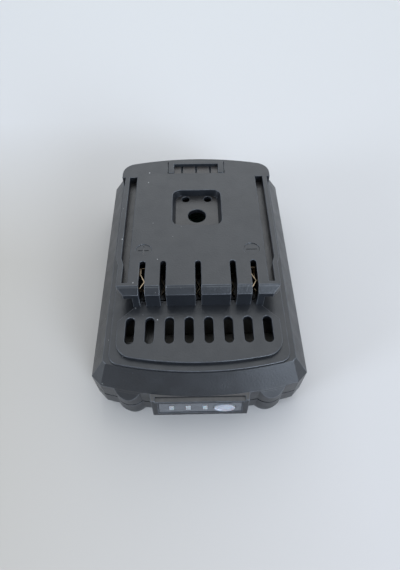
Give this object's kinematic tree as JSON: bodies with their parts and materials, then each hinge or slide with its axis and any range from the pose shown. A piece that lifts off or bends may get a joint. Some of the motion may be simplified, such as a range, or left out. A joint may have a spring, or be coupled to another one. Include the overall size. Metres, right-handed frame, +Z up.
{
  "type": "power tool battery pack",
  "caption": "Slide-on power tool battery pack: moulded shells round lithium cells, rail platform with terminal slots, sprung release latch, vents, charge gauge with push button.",
  "frame": {"origin": "on the floor under the middle of the pack's box", "axes": "+Z up, +Y from the gauge and terminals towards the latch, +X to the right seen from the gauge"},
  "size_m": [0.076, 0.1124, 0.0386],
  "materials": {
    "housing": "fine moulded texture, dark grey",
    "latch": "fine moulded texture, dark grey",
    "steel": "zinc plated",
    "cell_sleeve": "dark grey shrink sleeve",
    "paper": "pressed insulating board",
    "dark_plastic": "moulded, black",
    "nickel": "nickel strip",
    "circuit_board": "green solder mask",
    "contact_brass": "bright, worn at the bends",
    "facia": "smooth, grey",
    "clear_plastic": "milky clear",
    "button": "satin, pale"
  },
  "bodies": {
    "pack": {"lower_housing": "housing", "upper_housing": "housing", "latch_spring_left": "steel", "latch_spring_right": "steel", "cell_1": "cell_sleeve", "cell_2": "cell_sleeve", "cell_3": "cell_sleeve", "cell_4": "cell_sleeve", "cell_5": "cell_sleeve", "cell_washers": "paper", "cell_holder_left": "dark_plastic", "cell_holder_right": "dark_plastic", "strip_negative": "nickel", "link_1_2": "nickel", "link_2_3": "nickel", "link_3_4": "nickel", "link_4_5": "nickel", "strip_positive": "nickel", "insulator_left": "paper", "insulator_right": "paper", "board_tray": "dark_plastic", "protection_board": "circuit_board", "board_mosfets": "dark_plastic", "board_chips": "dark_plastic", "board_screws": "steel", "centre_screw": "steel", "terminal_carrier": "dark_plastic", "positive_contact": "contact_brass", "negative_contact": "contact_brass", "signal_contact_left": "contact_brass", "signal_contact_centre": "contact_brass", "signal_contact_right": "contact_brass", "thermistor": "dark_plastic", "gauge_panel": "facia", "gauge_light_pipe": "clear_plastic", "gauge_switch": "steel", "gauge_leds": "clear_plastic", "gauge_board": "circuit_board", "gauge_cable": "dark_plastic", "housing_screws": "steel"},
    "latch": {"release_latch": "latch"},
    "button": {"gauge_button": "button", "switch_plunger": "dark_plastic"}
  },
  "joints": [
    {"name": "latch_slide", "type": "slide", "parent": "pack", "child": "latch", "axis": [0, 0, -1], "range_m": [0, 0.003], "stiffness_N_per_m": 800, "deforming": ["latch_spring_left", "latch_spring_right"]},
    {"name": "button_press", "type": "slide", "parent": "pack", "child": "button", "axis": [0, 0.9511, -0.309], "range_m": [0, 0.0006], "stiffness_N_per_m": 2000}
  ]
}
